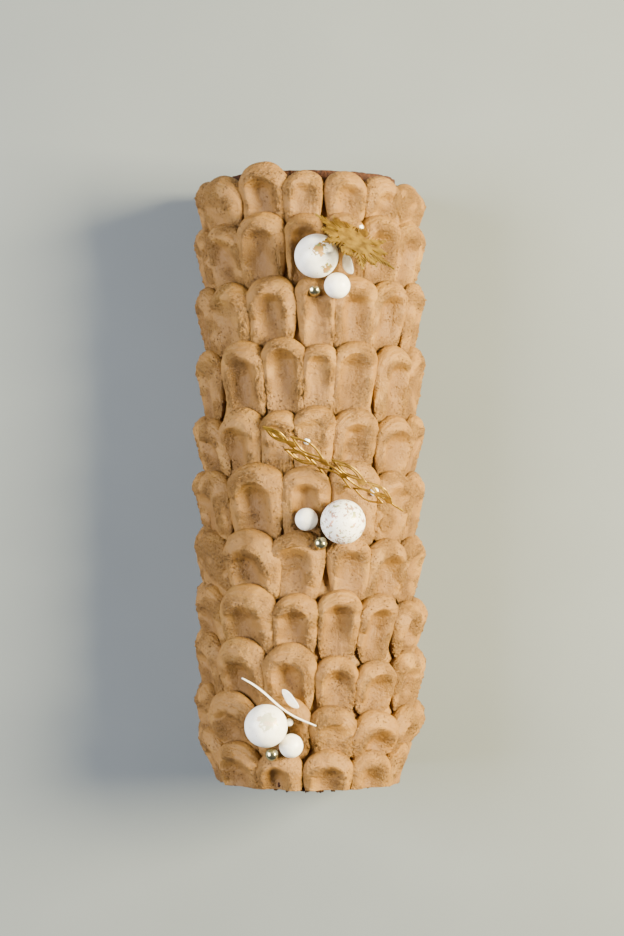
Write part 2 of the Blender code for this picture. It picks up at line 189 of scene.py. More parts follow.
def winding_angle(turn):
    """Direction from the roll's middle after so many turns from the start of the filling."""
    return CREAM_END_ANGLE + 2 * math.pi * (CREAM_TURNS - turn)


def cream_radius(turn):
    """Middle of the filling, after so many turns from its start."""
    share = CREAM_START_SHARE + (CREAM_END_SHARE - CREAM_START_SHARE) * max(turn, 0.0) / CREAM_TURNS
    return roll_radius(winding_angle(turn)) * share


def crumb(point, scale):
    """Open crumb: 0 on a cell wall, towards 1 in a hole."""
    distances, _ = noise.voronoi(point / scale)
    return max(0.0, 1.0 - CRUMB_CELL_SHARPNESS * distances[0])


def wind_strip(turn_to, edges_at, steps_along, steps_across, relief):
    """A sheet wound in the section and drawn out along the log, with relief on its two cut ends."""
    bm = bmesh.new()
    bmesh.ops.create_grid(bm, x_segments=steps_along, y_segments=steps_across, size=1.0)
    for vert in bm.verts:
        turn = turn_to * (vert.co.x + 1) / 2
        inner, outer = edges_at(turn)
        reach = inner + (outer - inner) * (vert.co.y + 1) / 2
        angle = winding_angle(turn)
        across = reach * math.cos(angle)
        vert.co = Vector((across, -ROLL_LENGTH / 2, ROLL_SHOULDER_Z + reach * math.sin(angle)))
    drawn = bmesh.ops.extrude_face_region(bm, geom=list(bm.faces))
    bmesh.ops.translate(bm, verts=made_verts(drawn), vec=(0, ROLL_LENGTH, 0))
    for vert in bm.verts:
        vert.co.y -= math.copysign(relief(vert.co), vert.co.y)
    bmesh.ops.remove_doubles(bm, verts=bm.verts, dist=MERGE_DISTANCE)
    bmesh.ops.recalc_face_normals(bm, faces=bm.faces)
    return bm


def sponge_edges(turn):
    """Inner and outer face of the sponge sheet after so many turns."""
    inner = cream_radius(turn - 1) + CREAM_THICKNESS / 2 + TOUCH_GAP
    inner *= float(smooth_step(EYE_CLOSED_FROM, 1.0, turn))
    outer = cream_radius(turn) - CREAM_THICKNESS / 2 - TOUCH_GAP
    if turn > CREAM_TURNS:
        outer = roll_radius(winding_angle(turn))
    return inner, max(outer, inner + THINNEST_SHEET)


def sponge_relief(place):
    """How far a point of the sponge's cut ends lies back."""
    return CRUMB_PIT * crumb(place, CRUMB_CELL) + SPONGE_UNEVENNESS * noise.noise(place * 260)


sponge_finish, where = new_finish("baked_chocolate_sponge")
# Open brown crumb, quite matt: its holes are painted dark with their shade, and it is paler on the cell walls
cells = add_node(sponge_finish, "ShaderNodeTexVoronoi", {"Vector": where, "Scale": 620.0})
grain = add_noise(sponge_finish, where, 900.0, 5.0)
mixed = add_node(sponge_finish, "ShaderNodeMath", {0: cells.outputs["Distance"], 1: grain.outputs["Fac"]},
                 operation="MULTIPLY")
crumb_colour = colour_ramp(sponge_finish, mixed.outputs["Value"],
                           [(0.04, SPONGE_HOLE_SHADE), (0.22, SPONGE_MID), (0.42, SPONGE_LIGHT)])
bumps = add_bump(sponge_finish, mixed.outputs["Value"], 0.0012, 0.9)
add_skin(sponge_finish, {
    "Base Color": crumb_colour, "Roughness": 0.92, "Normal": bumps, "Specular IOR Level": 0.25})

sponge = wind_strip(CREAM_TURNS + 1, sponge_edges, steps_along=420, steps_across=11, relief=sponge_relief)
finish_piece(sponge, "sponge_sheet", sponge_finish, ["sponge_roll"], smooth=False)

# Cream filling
# Coffee cream spread on the sponge before it is rolled, so it shows as a spiral at both ends.
# It is smooth where the knife cut it and stands back a little from the crumb.
CREAM_SET_BACK = 0.0005
CREAM_UNEVENNESS = 0.0005
CREAM_PALE = "#B9925A"
CREAM_DEEP = "#A67E48"


def cream_edges(turn):
    """Inner and outer face of the filling after so many turns."""
    half = CREAM_THICKNESS / 2
    return cream_radius(turn) - half, cream_radius(turn) + half


def cream_relief(place):
    """How far a point of the filling's cut ends lies back."""
    return CREAM_SET_BACK + CREAM_UNEVENNESS * noise.noise(place * 180)


cream_finish, where = new_finish("whipped_cream_filling")
# Soft and pale, with a low gloss and a trace of light under its surface
cloud = add_noise(cream_finish, where, 160.0, 6.0)
cream_colour = colour_ramp(cream_finish, cloud.outputs["Fac"], [(0.35, CREAM_DEEP), (0.62, CREAM_PALE)])
bumps = add_bump(cream_finish, cloud.outputs["Fac"], 0.0008, 0.5)
add_skin(cream_finish, {
    "Base Color": cream_colour, "Roughness": 0.55, "Normal": bumps,
    "Subsurface Weight": 0.1, "Subsurface Radius": (0.003, 0.0018, 0.001), "Subsurface Scale": 1.0})

cream = wind_strip(CREAM_TURNS, cream_edges, steps_along=300, steps_across=5, relief=cream_relief)
finish_piece(cream, "cream_spiral", cream_finish, ["cream_filling"])

# Buttercream coat
# Coffee buttercream spread over the roll with a palette knife, as a bed for the petals.
# It shows in the gaps between petals, along the foot and as a ragged rim round both ends.
COAT_HALF_WIDTH = 0.0435
COAT_RISE = 0.0375
COAT_BACK_Y = 0.1305
COAT_FRONT_Y = -0.1345
CORNER_TRIM = 0.008
LEFT_TRIM = 0.004
CORNER_TRIM_FROM = 0.046
CORNER_TRIM_TO = 0.080
THIN_CORNER_FROM = -0.108
PARED_RIGHT = 0.85
PARED_LEFT = 0.45
COAT_LIFT = 0.0001
COAT_SWELL = 0.0005
COAT_GRAIN = 0.0002
COAT_RAGGED_RIM = 0.0009
# How strongly painted shade darkens the spoon's hollows
HOLLOW_SHADE_SHARE = 0.75
BUTTERCREAM_DEEP = "#7A5523"
BUTTERCREAM_MID = "#805824"
BUTTERCREAM_PALE = "#8B632A"
# Painted shade: the colour of the air pores
BUTTERCREAM_PORE_SHADE = "#573616"
# Painted shade: the colour the spoon's hollows are darkened towards
BUTTERCREAM_HOLLOW_SHADE = "#67441A"


def coat_side():
    """The coat's right side, from the top line down to the base: arc length, x, z and normal."""
    angles = np.linspace(0, math.pi / 2, 181)
    drop = np.linspace(0, 1, 61)[1:]
    x = np.concatenate([COAT_HALF_WIDTH * np.sin(angles), np.full_like(drop, COAT_HALF_WIDTH)])
    z = np.concatenate([ROLL_SHOULDER_Z + COAT_RISE * np.cos(angles), ROLL_SHOULDER_Z * (1 - drop)])
    arc = np.concatenate([[0.0], np.cumsum(np.hypot(np.diff(x), np.diff(z)))])
    lean = np.arctan2(np.sin(angles) / COAT_HALF_WIDTH, np.cos(angles) / COAT_RISE)
    lean = np.concatenate([lean, np.full_like(drop, math.pi / 2)])
    return arc, x, z, np.sin(lean), np.cos(lean)


SIDE_ARC, SIDE_X, SIDE_Z, SIDE_NX, SIDE_NZ = coat_side()
SIDE_END = float(SIDE_ARC[-1])


def on_coat(across, along, height):
    """Points over the coat: across is arc length from the top line, height is along the normal."""
    arc = np.abs(across)
    below = np.maximum(arc - SIDE_END, 0.0)
    x = np.interp(arc, SIDE_ARC, SIDE_X) + height * np.interp(arc, SIDE_ARC, SIDE_NX)
    z = np.interp(arc, SIDE_ARC, SIDE_Z) + height * np.interp(arc, SIDE_ARC, SIDE_NZ) - below
    return np.stack([np.copysign(x, across), along, z], axis=-1)


def thin_corner(place):
    """Press the cream in towards the roll's sides at the front corners, where the knife pared it away."""
    inner = ROLL_HALF_WIDTH + 2 * TOUCH_GAP
    beyond = max(abs(place.x) - inner, 0.0)
    pared = PARED_RIGHT if place.x > 0 else PARED_LEFT
    press = pared * float(smooth_step(THIN_CORNER_FROM, COAT_FRONT_Y, place.y))
    place.x = math.copysign(abs(place.x) - beyond * press, place.x)


def front_line(across):
    """Where the frosting ends at the front: straight, but trimmed back at both feet."""
    right = CORNER_TRIM * smooth_step(CORNER_TRIM_FROM, CORNER_TRIM_TO, across)
    left = LEFT_TRIM * smooth_step(CORNER_TRIM_FROM, CORNER_TRIM_TO, -across)
    return COAT_FRONT_Y + right + left


buttercream_finish, where = new_finish("whipped_coffee_buttercream")
# Pale coffee brown, soft and nearly matt, with painted shade in the spoon's hollows: air pores painted dark
# with their shade, fine drag lines that follow the spoon, and coarse torn grains where the spoon let go
flow = add_node(buttercream_finish, "ShaderNodeAttribute", attribute_name="flow").outputs["Vector"]
torn = add_node(buttercream_finish, "ShaderNodeAttribute", attribute_name="grain").outputs["Fac"]
cloud = add_noise(buttercream_finish, where, 70.0, 7.0, 0.62)
butter_colour = colour_ramp(buttercream_finish, cloud.outputs["Fac"],
                            [(0.32, BUTTERCREAM_DEEP), (0.50, BUTTERCREAM_MID), (0.68, BUTTERCREAM_PALE)])
pull = add_noise(buttercream_finish, where, 800.0, 2.0)
pulled = add_node(buttercream_finish, "ShaderNodeVectorMath", {
    0: pull.outputs["Color"], 1: (0.0010, 0.0010, 0.0010), 2: where}, operation="MULTIPLY_ADD")
pore_cells = add_node(buttercream_finish, "ShaderNodeTexVoronoi", {
    "Vector": pulled.outputs["Vector"], "Scale": 700.0})
pores = add_node(buttercream_finish, "ShaderNodeMapRange", {
    "Value": pore_cells.outputs["Distance"], "From Min": 0.08, "From Max": 0.30})
patch = add_noise(buttercream_finish, where, 120.0, 3.0)
unpitted = add_node(buttercream_finish, "ShaderNodeMapRange", {
    "Value": patch.outputs["Fac"], "From Min": 0.47, "From Max": 0.62, "To Min": 1.0, "To Max": 0.0})
solid_part = add_node(buttercream_finish, "ShaderNodeMath", {
    0: pores.outputs["Result"], 1: unpitted.outputs["Result"]}, operation="MAXIMUM")
# Painted shade: the spoon's hollows are darkened towards a shade colour, the more the deeper in them a point
# lies
scooped = add_node(buttercream_finish, "ShaderNodeAttribute", attribute_name="hollow").outputs["Fac"]
painted_hollow_shade = add_node(buttercream_finish, "ShaderNodeMath", {0: scooped, 1: HOLLOW_SHADE_SHARE},
                      operation="MULTIPLY")
butter_colour = add_node(buttercream_finish, "ShaderNodeMix", {
    0: painted_hollow_shade.outputs["Value"], 6: butter_colour, 7: to_linear(BUTTERCREAM_HOLLOW_SHADE)},
    data_type="RGBA").outputs[2]
# Painted shade: the pores are darkened where their shade falls
colour_with_pore_shade = add_node(buttercream_finish, "ShaderNodeMix", {
    0: solid_part.outputs["Value"], 6: to_linear(BUTTERCREAM_PORE_SHADE), 7: butter_colour}, data_type="RGBA")
pore_bump = add_bump(buttercream_finish, solid_part.outputs["Value"], 0.0009, 1.0)
along_drag = add_node(buttercream_finish, "ShaderNodeMapping", {"Vector": flow, "Scale": (1.0, 0.16, 1.0)})
drag = add_noise(buttercream_finish, along_drag.outputs["Vector"], 1100.0, 5.0, 0.6)
drag_bump = add_bump(buttercream_finish, drag.outputs["Fac"], 0.0005, 0.5, pore_bump)
grains = add_noise(buttercream_finish, where, 1150.0, 6.0, 0.65)
grain_height = add_node(buttercream_finish, "ShaderNodeMath", {0: grains.outputs["Fac"], 1: torn},
                        operation="MULTIPLY")
grain_bump = add_bump(buttercream_finish, grain_height.outputs["Value"], 0.0022, 1.0, drag_bump)
curdle = add_noise(buttercream_finish, where, 520.0, 8.0, 0.68)
curdle_bump = add_bump(buttercream_finish, curdle.outputs["Fac"], 0.0011, 0.70, grain_bump)
add_skin(buttercream_finish, {
    "Base Color": colour_with_pore_shade.outputs[2], "Roughness": 0.55, "Normal": curdle_bump,
    "Specular IOR Level": 0.35, "Subsurface Weight": 0.04, "Subsurface Radius": (0.0012, 0.0009, 0.0006),
    "Subsurface Scale": 1.0})


def under_coat(across):
    """The roll's surface under the coat at an arc length of the coat, as (x, z)."""
    arc = abs(across)
    shoulder = float(np.interp(0.0, ROLL_SHOULDER_Z - SIDE_Z, SIDE_ARC))
    if arc < shoulder:
        x = float(np.interp(arc, SIDE_ARC, SIDE_X)) / COAT_HALF_WIDTH
        inside_x = x * (ROLL_HALF_WIDTH + TOUCH_GAP)
        inside_z = ROLL_SHOULDER_Z + (ROLL_RISE + TOUCH_GAP) * math.sqrt(max(1 - x * x, 0.0))
    else:
        straight = ROLL_SHOULDER_Z - CORNER_RADIUS * math.sin(CORNER_SWEEP)
        path = (arc - shoulder) / (SIDE_END - shoulder) * (straight + CORNER_RADIUS * CORNER_SWEEP)
        angle = max(path - straight, 0.0) / CORNER_RADIUS
        radius = CORNER_RADIUS + TOUCH_GAP
        inside_x = ROLL_HALF_WIDTH + TOUCH_GAP - radius * (1 - math.cos(angle))
        inside_z = ROLL_SHOULDER_Z - min(path, straight) - radius * math.sin(angle)
    return math.copysign(inside_x, across), max(inside_z, 0.0)


coat = bmesh.new()
bmesh.ops.create_grid(coat, x_segments=120, y_segments=150, size=1.0)
coat_inside = set(made_verts(bmesh.ops.extrude_face_region(coat, geom=list(coat.faces))))
for vert in coat.verts:
    across = vert.co.x * SIDE_END
    front = float(front_line(across))
    ends = abs(vert.co.y) ** 8
    along = front + (COAT_BACK_Y - front) * (vert.co.y + 1) / 2
    along += COAT_RAGGED_RIM * ends * noise.noise(Vector((across * 150, vert.co.y, 0.3)))
    spread = Vector((across, along, 0.0))
    ripple = COAT_LIFT * (1 - ends) + COAT_SWELL * noise.noise(spread * 90)
    ripple += COAT_GRAIN * noise.noise(spread * 500)
    place = Vector(on_coat(across, along, ripple))
    thin_corner(place)
    if vert in coat_inside:
        place.x, place.z = under_coat(across)
    vert.co = place
bmesh.ops.recalc_face_normals(coat, faces=coat.faces)
finish_piece(coat, "buttercream_coat", buttercream_finish, ["frosting"])

# Buttercream petals
# Each is a spoonful dabbed on as a round dome and dragged towards the front with the back of a spoon.
# A row is dabbed right round the log, and the next row's domes cover its thin ends.
PETAL_CROWN = 0.0092
PETAL_FLOOR = 0.0006
PETAL_OVERLAP = 1.17
EDGE_SHARE = 0.28
UNDERCUT = 0.78
ROOT_DEPTH = 0.0030
SCOOP_DEPTH = 0.94
SCOOP_HALF_WIDTH = 0.61
SCOOP_HEAD_Y = -0.30
SCOOP_HEAD_RADIUS = 0.72
TAIL_SHARE = 0.40
TAIL_NARROWING = 0.24
COVERED_TAIL = 0.0088
FLANK_PITCH = 0.0190
FLANK_WIDTH = 0.0195
CUT_OFF_TAIL = 0.008
LAST_PETAL_ROOM = 0.002
ROW_WANDER = 0.0015
TAIL_SWING = 0.0032
SLACK_FROM = 0.030
SLACK_TO = 0.062
DRAG_RELIEF = 0.00028
SWELL_RELIEF = 0.00055
LUMP_RELIEF = 0.00030
TORN_RELIEF = 0.00095
FULL_RELIEF_HEIGHT = 0.0015
OUTLINE_WOBBLE = 0.06
TORN_WOBBLE = 0.02
TRIM_OVERHANG = 0.0015
BASE_CLEARANCE = 0.0001
FRONT_CUT_ROOM = 0.0005
RANDOM_SEED = 11
PETAL_STEPS_ACROSS = 48
PETAL_STEPS_ALONG = 72
# Every petal that shows from above, row by row: arc length of its middle from the top line, its
# width between creases, and how far along the log its dome reaches
PETAL_ROWS = (
    ((-0.0406, 0.0230, 0.1340), (-0.0194, 0.0196, 0.1378), (-0.0023, 0.0158, 0.1336),
     (0.0136, 0.0163, 0.1334), (0.0299, 0.0176, 0.1322), (0.0475, 0.0190, 0.1312)),
    ((-0.0393, 0.0205, 0.1131), (-0.0198, 0.0202, 0.1162), (-0.0019, 0.0162, 0.1148),
     (0.0127, 0.0156, 0.1154), (0.0304, 0.0184, 0.1157), (0.0485, 0.0190, 0.1151)),
    ((-0.0351, 0.0208, 0.0863), (-0.0156, 0.0200, 0.0883), (0.0016, 0.0152, 0.0880),
     (0.0186, 0.0200, 0.0884), (0.0363, 0.0182, 0.0873)),
    ((-0.0518, 0.0205, 0.0574), (-0.0289, 0.0206, 0.0606), (-0.0111, 0.0172, 0.0618),
     (0.0044, 0.0142, 0.0587), (0.0194, 0.0178, 0.0602), (0.0381, 0.0188, 0.0588)),
    ((-0.0495, 0.0200, 0.0270), (-0.0289, 0.0206, 0.0309), (-0.0119, 0.0146, 0.0298),
     (0.0024, 0.0160, 0.0319), (0.0194, 0.0188, 0.0312), (0.0381, 0.0192, 0.0276)),
    ((-0.0466, 0.0235, 0.0038), (-0.0224, 0.0240, 0.0077), (-0.0015, 0.0188, 0.0056),
     (0.0177, 0.0202, 0.0082), (0.0375, 0.0200, 0.0038)),
    ((-0.0495, 0.0225, -0.0225), (-0.0260, 0.0234, -0.0219), (-0.0043, 0.0216, -0.0221),
     (0.0152, 0.0182, -0.0243), (0.0341, 0.0196, -0.0260)),
    ((-0.0506, 0.0218, -0.0466), (-0.0260, 0.0250, -0.0458), (-0.0047, 0.0182, -0.0497),
     (0.0127, 0.0172, -0.0481), (0.0304, 0.0172, -0.0499), (0.0475, 0.0180, -0.0540)),
    ((-0.0530, 0.0225, -0.0680), (-0.0304, 0.0240, -0.0691), (-0.0079, 0.0205, -0.0713),
     (0.0107, 0.0170, -0.0766), (0.0285, 0.0180, -0.0791), (0.0475, 0.0195, -0.0762)),
    ((-0.0357, 0.0250, -0.0927), (-0.0111, 0.0230, -0.0943), (0.0087, 0.0180, -0.0981),
     (0.0285, 0.0215, -0.1009)),
    ((-0.0500, 0.0190, -0.1105), (-0.0319, 0.0208, -0.1147), (-0.0119, 0.0182, -0.1172),
     (0.0071, 0.0182, -0.1171), (0.0256, 0.0178, -0.1181)),
)
# Petals that were smeared flat or nearly so, by row and place: how much of the hollow is left
SMEARED_PETALS = {
    (0, 0): 0.20, (0, 2): 0.60, (0, 3): 0.65, (0, 4): 0.50, (0, 5): 0.20, (1, 3): 0.60, (2, 0): 0.55,
    (2, 2): 0.90, (3, 3): 0.50, (4, 2): 0.25, (4, 3): 0.35, (5, 3): 0.25, (5, 4): 0.50, (6, 0): 0.50,
    (6, 5): 0.35, (9, 2): 0.35,
}


def plan_row(number):
    """One row's petals right round the log, as (across, along, width, length)."""
    draw = random.Random(RANDOM_SEED + number)
    seen = PETAL_ROWS[number]
    station = sum(along for _, _, along in seen) / len(seen)
    if number + 1 < len(PETAL_ROWS):
        following = PETAL_ROWS[number + 1]
        length = station - sum(along for _, _, along in following) / len(following) + COVERED_TAIL
    else:
        length = station - COAT_FRONT_Y + CUT_OFF_TAIL
    petals = list(seen)
    for side, (across, _, along) in ((-1, seen[0]), (1, seen[-1])):
        while abs(across) < SIDE_END - LAST_PETAL_ROOM:
            across += side * FLANK_PITCH
            wander = draw.uniform(-ROW_WANDER, ROW_WANDER)
            petals.append((across, FLANK_WIDTH * draw.uniform(0.95, 1.08), along + wander))
    return [(across, along, width * PETAL_OVERLAP, length + along - station)
            for across, width, along in petals]


def scoop_reach(x, y, lean, size):
    """How far out of the spoon's hollow a point of the unit disc is: 0 in its middle, 1 on its edge.
    The spoon is held aslant, so the hollow's left side is steeper than its right side."""
    head = np.maximum((y - SCOOP_HEAD_Y) / (SCOOP_HEAD_RADIUS * size), 0.0)
    across = x + 0.08 - lean * (1 - y) / 2
    half = np.where(across < 0, 0.88, 1.14) * SCOOP_HALF_WIDTH * size
    return np.hypot(across / half, head)


def petal_height(x, y, reach, crown, depth, crisp, tail):
    """Height over the coat at points of the petal's unit disc, with its dome at y = 1."""
    loaf = EDGE_SHARE + (1 - EDGE_SHARE) * np.sqrt(np.maximum(1 - np.hypot(x, y) ** 2.4, 0.0))
    taper = tail + (1 - tail) * smooth_step(-0.95, 0.42, y)
    bowl = np.maximum(1 - reach ** 1.8, 0.0)
    soft = smooth_step(0.0, 1.12, bowl)
    scoop = soft + (0.88 * bowl ** 0.75 - soft) * crisp
    return PETAL_FLOOR + crown * taper * loaf * (1 - depth * scoop)


def add_petal(bm, across, along, width, length, draw, hollow_left):
    """One petal: a grid rounded into a disc, drawn out to a tongue, rooted, then laid over the coat."""
    petal = bmesh.new()
    bmesh.ops.create_grid(petal, x_segments=PETAL_STEPS_ACROSS, y_segments=PETAL_STEPS_ALONG, size=1.0)
    square = np.array([vert.co[:2] for vert in petal.verts]).T
    square_x, square_y = np.sin(square * math.pi / 2)
    x = square_x * np.sqrt(1 - square_y ** 2 / 2)
    y = square_y * np.sqrt(1 - square_x ** 2 / 2)
    nose = width / 2
    crown = PETAL_CROWN * draw.uniform(0.88, 1.06)
    lean = draw.uniform(-0.18, 0.18)
    size = draw.uniform(0.86, 1.08)
    shallow = float(smooth_step(SLACK_FROM, SLACK_TO, abs(across)))
    depth = SCOOP_DEPTH * draw.uniform(0.84, 1.06) * (1 - 0.35 * shallow) * hollow_left
    crisp = draw.uniform(0.0, 0.65)
    swing = draw.uniform(-TAIL_SWING, TAIL_SWING)
    wander = draw.uniform(0.0, 50.0)
    tearing = draw.uniform(0.6, 1.5) * (1 + shallow) * (1.8 - 0.8 * hollow_left)
    reach = scoop_reach(x, y, lean, size)
    height = petal_height(x, y, reach, crown, depth, crisp, TAIL_SHARE + 0.18 * shallow)
    below = np.minimum(y, 0.0)
    chord = np.sqrt(np.maximum(1 - below ** 2, 0.0004))
    widen = (1 + TAIL_NARROWING * (1 - 0.6 * shallow) * below) * np.sqrt(1 - 0.98 * below ** 6) / chord
    along_from_nose = np.where(y > 0, y * nose, y * (length - nose))
    stands = np.minimum(height / FULL_RELIEF_HEIGHT, 1.0)
    ragged = smooth_step(-0.45, -1.0, y)
    near_lip = np.exp(-((reach - 1.0) / 0.20) ** 2)
    flow = petal.verts.layers.float_vector.new("flow")
    grain = petal.verts.layers.float.new("grain")
    hollow = petal.verts.layers.float.new("hollow")
    for place, vert in enumerate(petal.verts):
        spot = Vector((x[place] * nose, along_from_nose[place], wander))
        drag = noise.noise(Vector((reach[place] * 8.0, y[place] * 1.5, wander)))
        swells = noise.noise(spot * 170)
        lumps = noise.fractal(spot * 360, 0.9, 2.2, 3)
        torn = max(noise.noise(spot * 150 + Vector((0, 0, 7.0))) + 0.14, 0.0) * tearing
        rough = min(1.0, 0.12 + torn * (0.8 + 3.4 * near_lip[place]) + 0.8 * ragged[place])
        crumbs = noise.noise(spot * 1400) + 0.5 * noise.noise(spot * 2600)
        shaped = DRAG_RELIEF * drag + SWELL_RELIEF * swells + LUMP_RELIEF * lumps
        shaped += TORN_RELIEF * rough * crumbs
        wobble = 1 + OUTLINE_WOBBLE * noise.noise(Vector((x[place] * 1.5, y[place] * 1.5, wander)))
        wobble += TORN_WOBBLE * rough * noise.noise(spot * 900)
        vert[flow] = Vector((reach[place] * nose, along_from_nose[place], wander))
        vert[grain] = rough
        # Painted shade: how deep in the spoon's hollow the point lies, which darkens the buttercream's colour
        # there
        vert[hollow] = max(1 - reach[place] ** 1.6, 0.0) * hollow_left
        vert.co.x = x[place] * nose * wobble * widen[place] + swing * (1 - y[place]) / 2
        vert.co.y = along_from_nose[place] * wobble
        vert.co.z = height[place] + shaped * stands[place]
    rims = [edge for edge in petal.edges if edge.is_boundary]
    for inwards, gather in ((UNDERCUT, UNDERCUT), (1.0, 0.0)):
        grown = bmesh.ops.extrude_edge_only(petal, edges=rims)
        for vert in made_verts(grown):
            vert.co = Vector((vert.co.x * gather, vert.co.y * inwards, -ROOT_DEPTH))
        rims = [item for item in grown["geom"] if isinstance(item, bmesh.types.BMEdge)]
    bmesh.ops.remove_doubles(petal, verts=petal.verts, dist=MERGE_DISTANCE)
    for vert in petal.verts:
        vert.co = Vector(on_coat(across + vert.co.x, along - nose + vert.co.y, vert.co.z))
        thin_corner(vert.co)
    mesh = bpy.data.meshes.new("petal")
    petal.to_mesh(mesh)
    petal.free()
    bm.from_mesh(mesh)
    bpy.data.meshes.remove(mesh)


def cut_flat(bm, place, keep):
    """Cut away what is beyond a plane, on the side away from the keep direction, and close the cut."""
    everything = list(bm.verts) + list(bm.edges) + list(bm.faces)
    bmesh.ops.bisect_plane(bm, geom=everything, plane_co=place, plane_no=keep, clear_inner=True)
    bmesh.ops.holes_fill(bm, edges=[edge for edge in bm.edges if edge.is_boundary], sides=0)


for number in range(len(PETAL_ROWS)):
    row = bmesh.new()
    draw = random.Random(RANDOM_SEED * 100 + number)
    for place, (across, along, width, length) in enumerate(plan_row(number)):
        trimmed = length
        if abs(across) > CORNER_TRIM_FROM:
            trimmed = min(length, along - float(front_line(across)) + TRIM_OVERHANG)
        if trimmed > width / 2:
            add_petal(row, across, along, width, trimmed, draw, SMEARED_PETALS.get((number, place), 1.0))
    cut_flat(row, (0, 0, BASE_CLEARANCE), (0, 0, 1))
    cut_flat(row, (0, COAT_FRONT_Y - FRONT_CUT_ROOM, 0), (0, 1, 0))
    bmesh.ops.recalc_face_normals(row, faces=row.faces)
    finish_piece(row, f"petal_row_{number + 1:02d}", buttercream_finish, ["frosting"])

# Crumbs
# Bits of sponge that tore off when the front end was trimmed and caught in the ragged buttercream.
# They are a millimetre or two across, dark and uneven.
CRUMB_COUNT = 34
CRUMB_RADII = (0.0006, 0.0015)
CRUMB_PLACES_ACROSS = (-0.030, 0.036)
CRUMB_PLACES_ALONG = (-0.0008, 0.0020)
CRUMB_HEIGHTS = (-0.0016, 0.0010)
CRUMB_UNEVENNESS = 0.55
crumbs = bmesh.new()
draw = random.Random(RANDOM_SEED + 5)
for count in range(CRUMB_COUNT):
    across = draw.uniform(*CRUMB_PLACES_ACROSS)
    size = draw.uniform(*CRUMB_RADII)
    lump = bmesh.ops.create_icosphere(crumbs, subdivisions=3, radius=size)["verts"]
    along = COAT_FRONT_Y + draw.uniform(*CRUMB_PLACES_ALONG)
    spot = Vector(on_coat(across, along, draw.uniform(*CRUMB_HEIGHTS)))
    for vert in lump:
        vert.co *= 1 + CRUMB_UNEVENNESS * noise.noise(vert.co * 1400 + Vector((0, 0, count)))
        vert.co += spot
finish_piece(crumbs, "sponge_crumbs", sponge_finish, [])

# Large white balls
# White chocolate shells about 19 mm across, moulded in halves and dabbed with flakes of gold leaf.
# The first has two smears of leaf, the second is flecked all over, the third has a single faint dab.
LEAF_GOLD = "#A6761C"
LEAF_ROSE = "#9C5C3A"
LEAF_OLIVE = "#8A8A2C"
SHELL_WHITE = "#F6EFE4"
SHELL_SHADE = "#E9E0D1"


def ball_place(node):
    """Middle and radius of a ball, from the box of its node."""
    low, high = (Vector(corner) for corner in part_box(node))
    return (low + high) / 2, (high.z - low.z) / 2


def add_ball_piece(node, name, segments, dent, material):
    """A ball in the place and size of its node, with the slight unevenness of a rolled shell."""
    centre, radius = ball_place(node)
    bm = bmesh.new()
    bmesh.ops.create_uvsphere(bm, u_segments=segments, v_segments=segments // 2, radius=radius)
    for vert in bm.verts:
        vert.co *= 1 + dent * noise.noise(vert.co / radius * 1.8 + centre * 100)
        vert.co += centre
    return finish_piece(bm, name, material, [node])


def shell_finish(node, name, fleck_from, strength, leaf, smears):
    """White chocolate: satin and faintly mottled, with flecks of leaf in three tints above a level and
    smears of it at places on the ball of a node, each (direction from its middle, size in metres)."""
    material, where = new_finish(name)
    mottle = add_noise(material, where, 300.0, 5.0)
    white = colour_ramp(material, mottle.outputs["Fac"], [(0.3, SHELL_SHADE), (0.6, SHELL_WHITE)])
    level = add_noise(material, where, 520.0, 6.0, 0.65).outputs["Fac"]
    for direction, size in smears:
        centre, radius = ball_place(node)
        spot = centre + Vector(direction).normalized() * radius
        away = add_node(material, "ShaderNodeVectorMath", {0: where, 1: spot}, operation="DISTANCE")
        near = add_node(material, "ShaderNodeMapRange", {
            "Value": away.outputs["Value"], "From Min": 0.0, "From Max": size, "To Min": 0.40, "To Max": 0.0})
        raised = add_node(material, "ShaderNodeMath", {0: level, 1: near.outputs["Result"]}, operation="ADD")
        level = raised.outputs["Value"]
    fleck = add_node(material, "ShaderNodeMapRange", {
        "Value": level, "From Min": fleck_from, "From Max": fleck_from + 0.02, "To Max": strength})
    grain = add_bump(material, mottle.outputs["Fac"], 0.0003, 0.4)
    body = add_node(material, "ShaderNodeBsdfPrincipled", {
        "Base Color": white, "Roughness": 0.38, "Normal": grain,
        "Subsurface Weight": 0.08, "Subsurface Radius": (0.002, 0.0016, 0.0012), "Subsurface Scale": 1.0})
    tints = add_noise(material, where, 380.0, 1.0)
    tint = colour_ramp(material, tints.outputs["Fac"], list(zip((0.42, 0.50, 0.58), leaf)))
    gold = add_node(material, "ShaderNodeBsdfPrincipled", {
        "Base Color": tint, "Metallic": 0.4, "Roughness": 0.45, "Normal": grain})
    both = add_node(material, "ShaderNodeMixShader", {
        0: fleck.outputs["Result"], 1: body.outputs["BSDF"], 2: gold.outputs["BSDF"]})
    add_node(material, "ShaderNodeOutputMaterial", {"Surface": both.outputs["Shader"]})
    return material


# Each shell: its finish, the level that flecks start from and their strength, three tints of leaf,
# and its smears
LARGE_SHELLS = (
    ("white_chocolate_with_gold_smears", 0.67, 0.95, (LEAF_OLIVE, LEAF_GOLD, LEAF_GOLD),
     [((0.12, 0.24, 0.96), 0.0048), ((0.50, -0.62, 0.60), 0.0046)]),
    ("white_chocolate_with_gold_flecks", 0.538, 0.85, (LEAF_OLIVE, LEAF_GOLD, LEAF_ROSE), []),
    ("white_chocolate_with_faint_dab", 0.64, 0.55, (LEAF_OLIVE, LEAF_OLIVE, LEAF_GOLD),
     [((0.12, 0.36, 0.92), 0.0058)]),
)
for count, shell in enumerate(LARGE_SHELLS, 1):
    node = f"ball_large_{count}"
    add_ball_piece(node, f"large_white_ball_{count}", 64, 0.012, shell_finish(node, *shell))

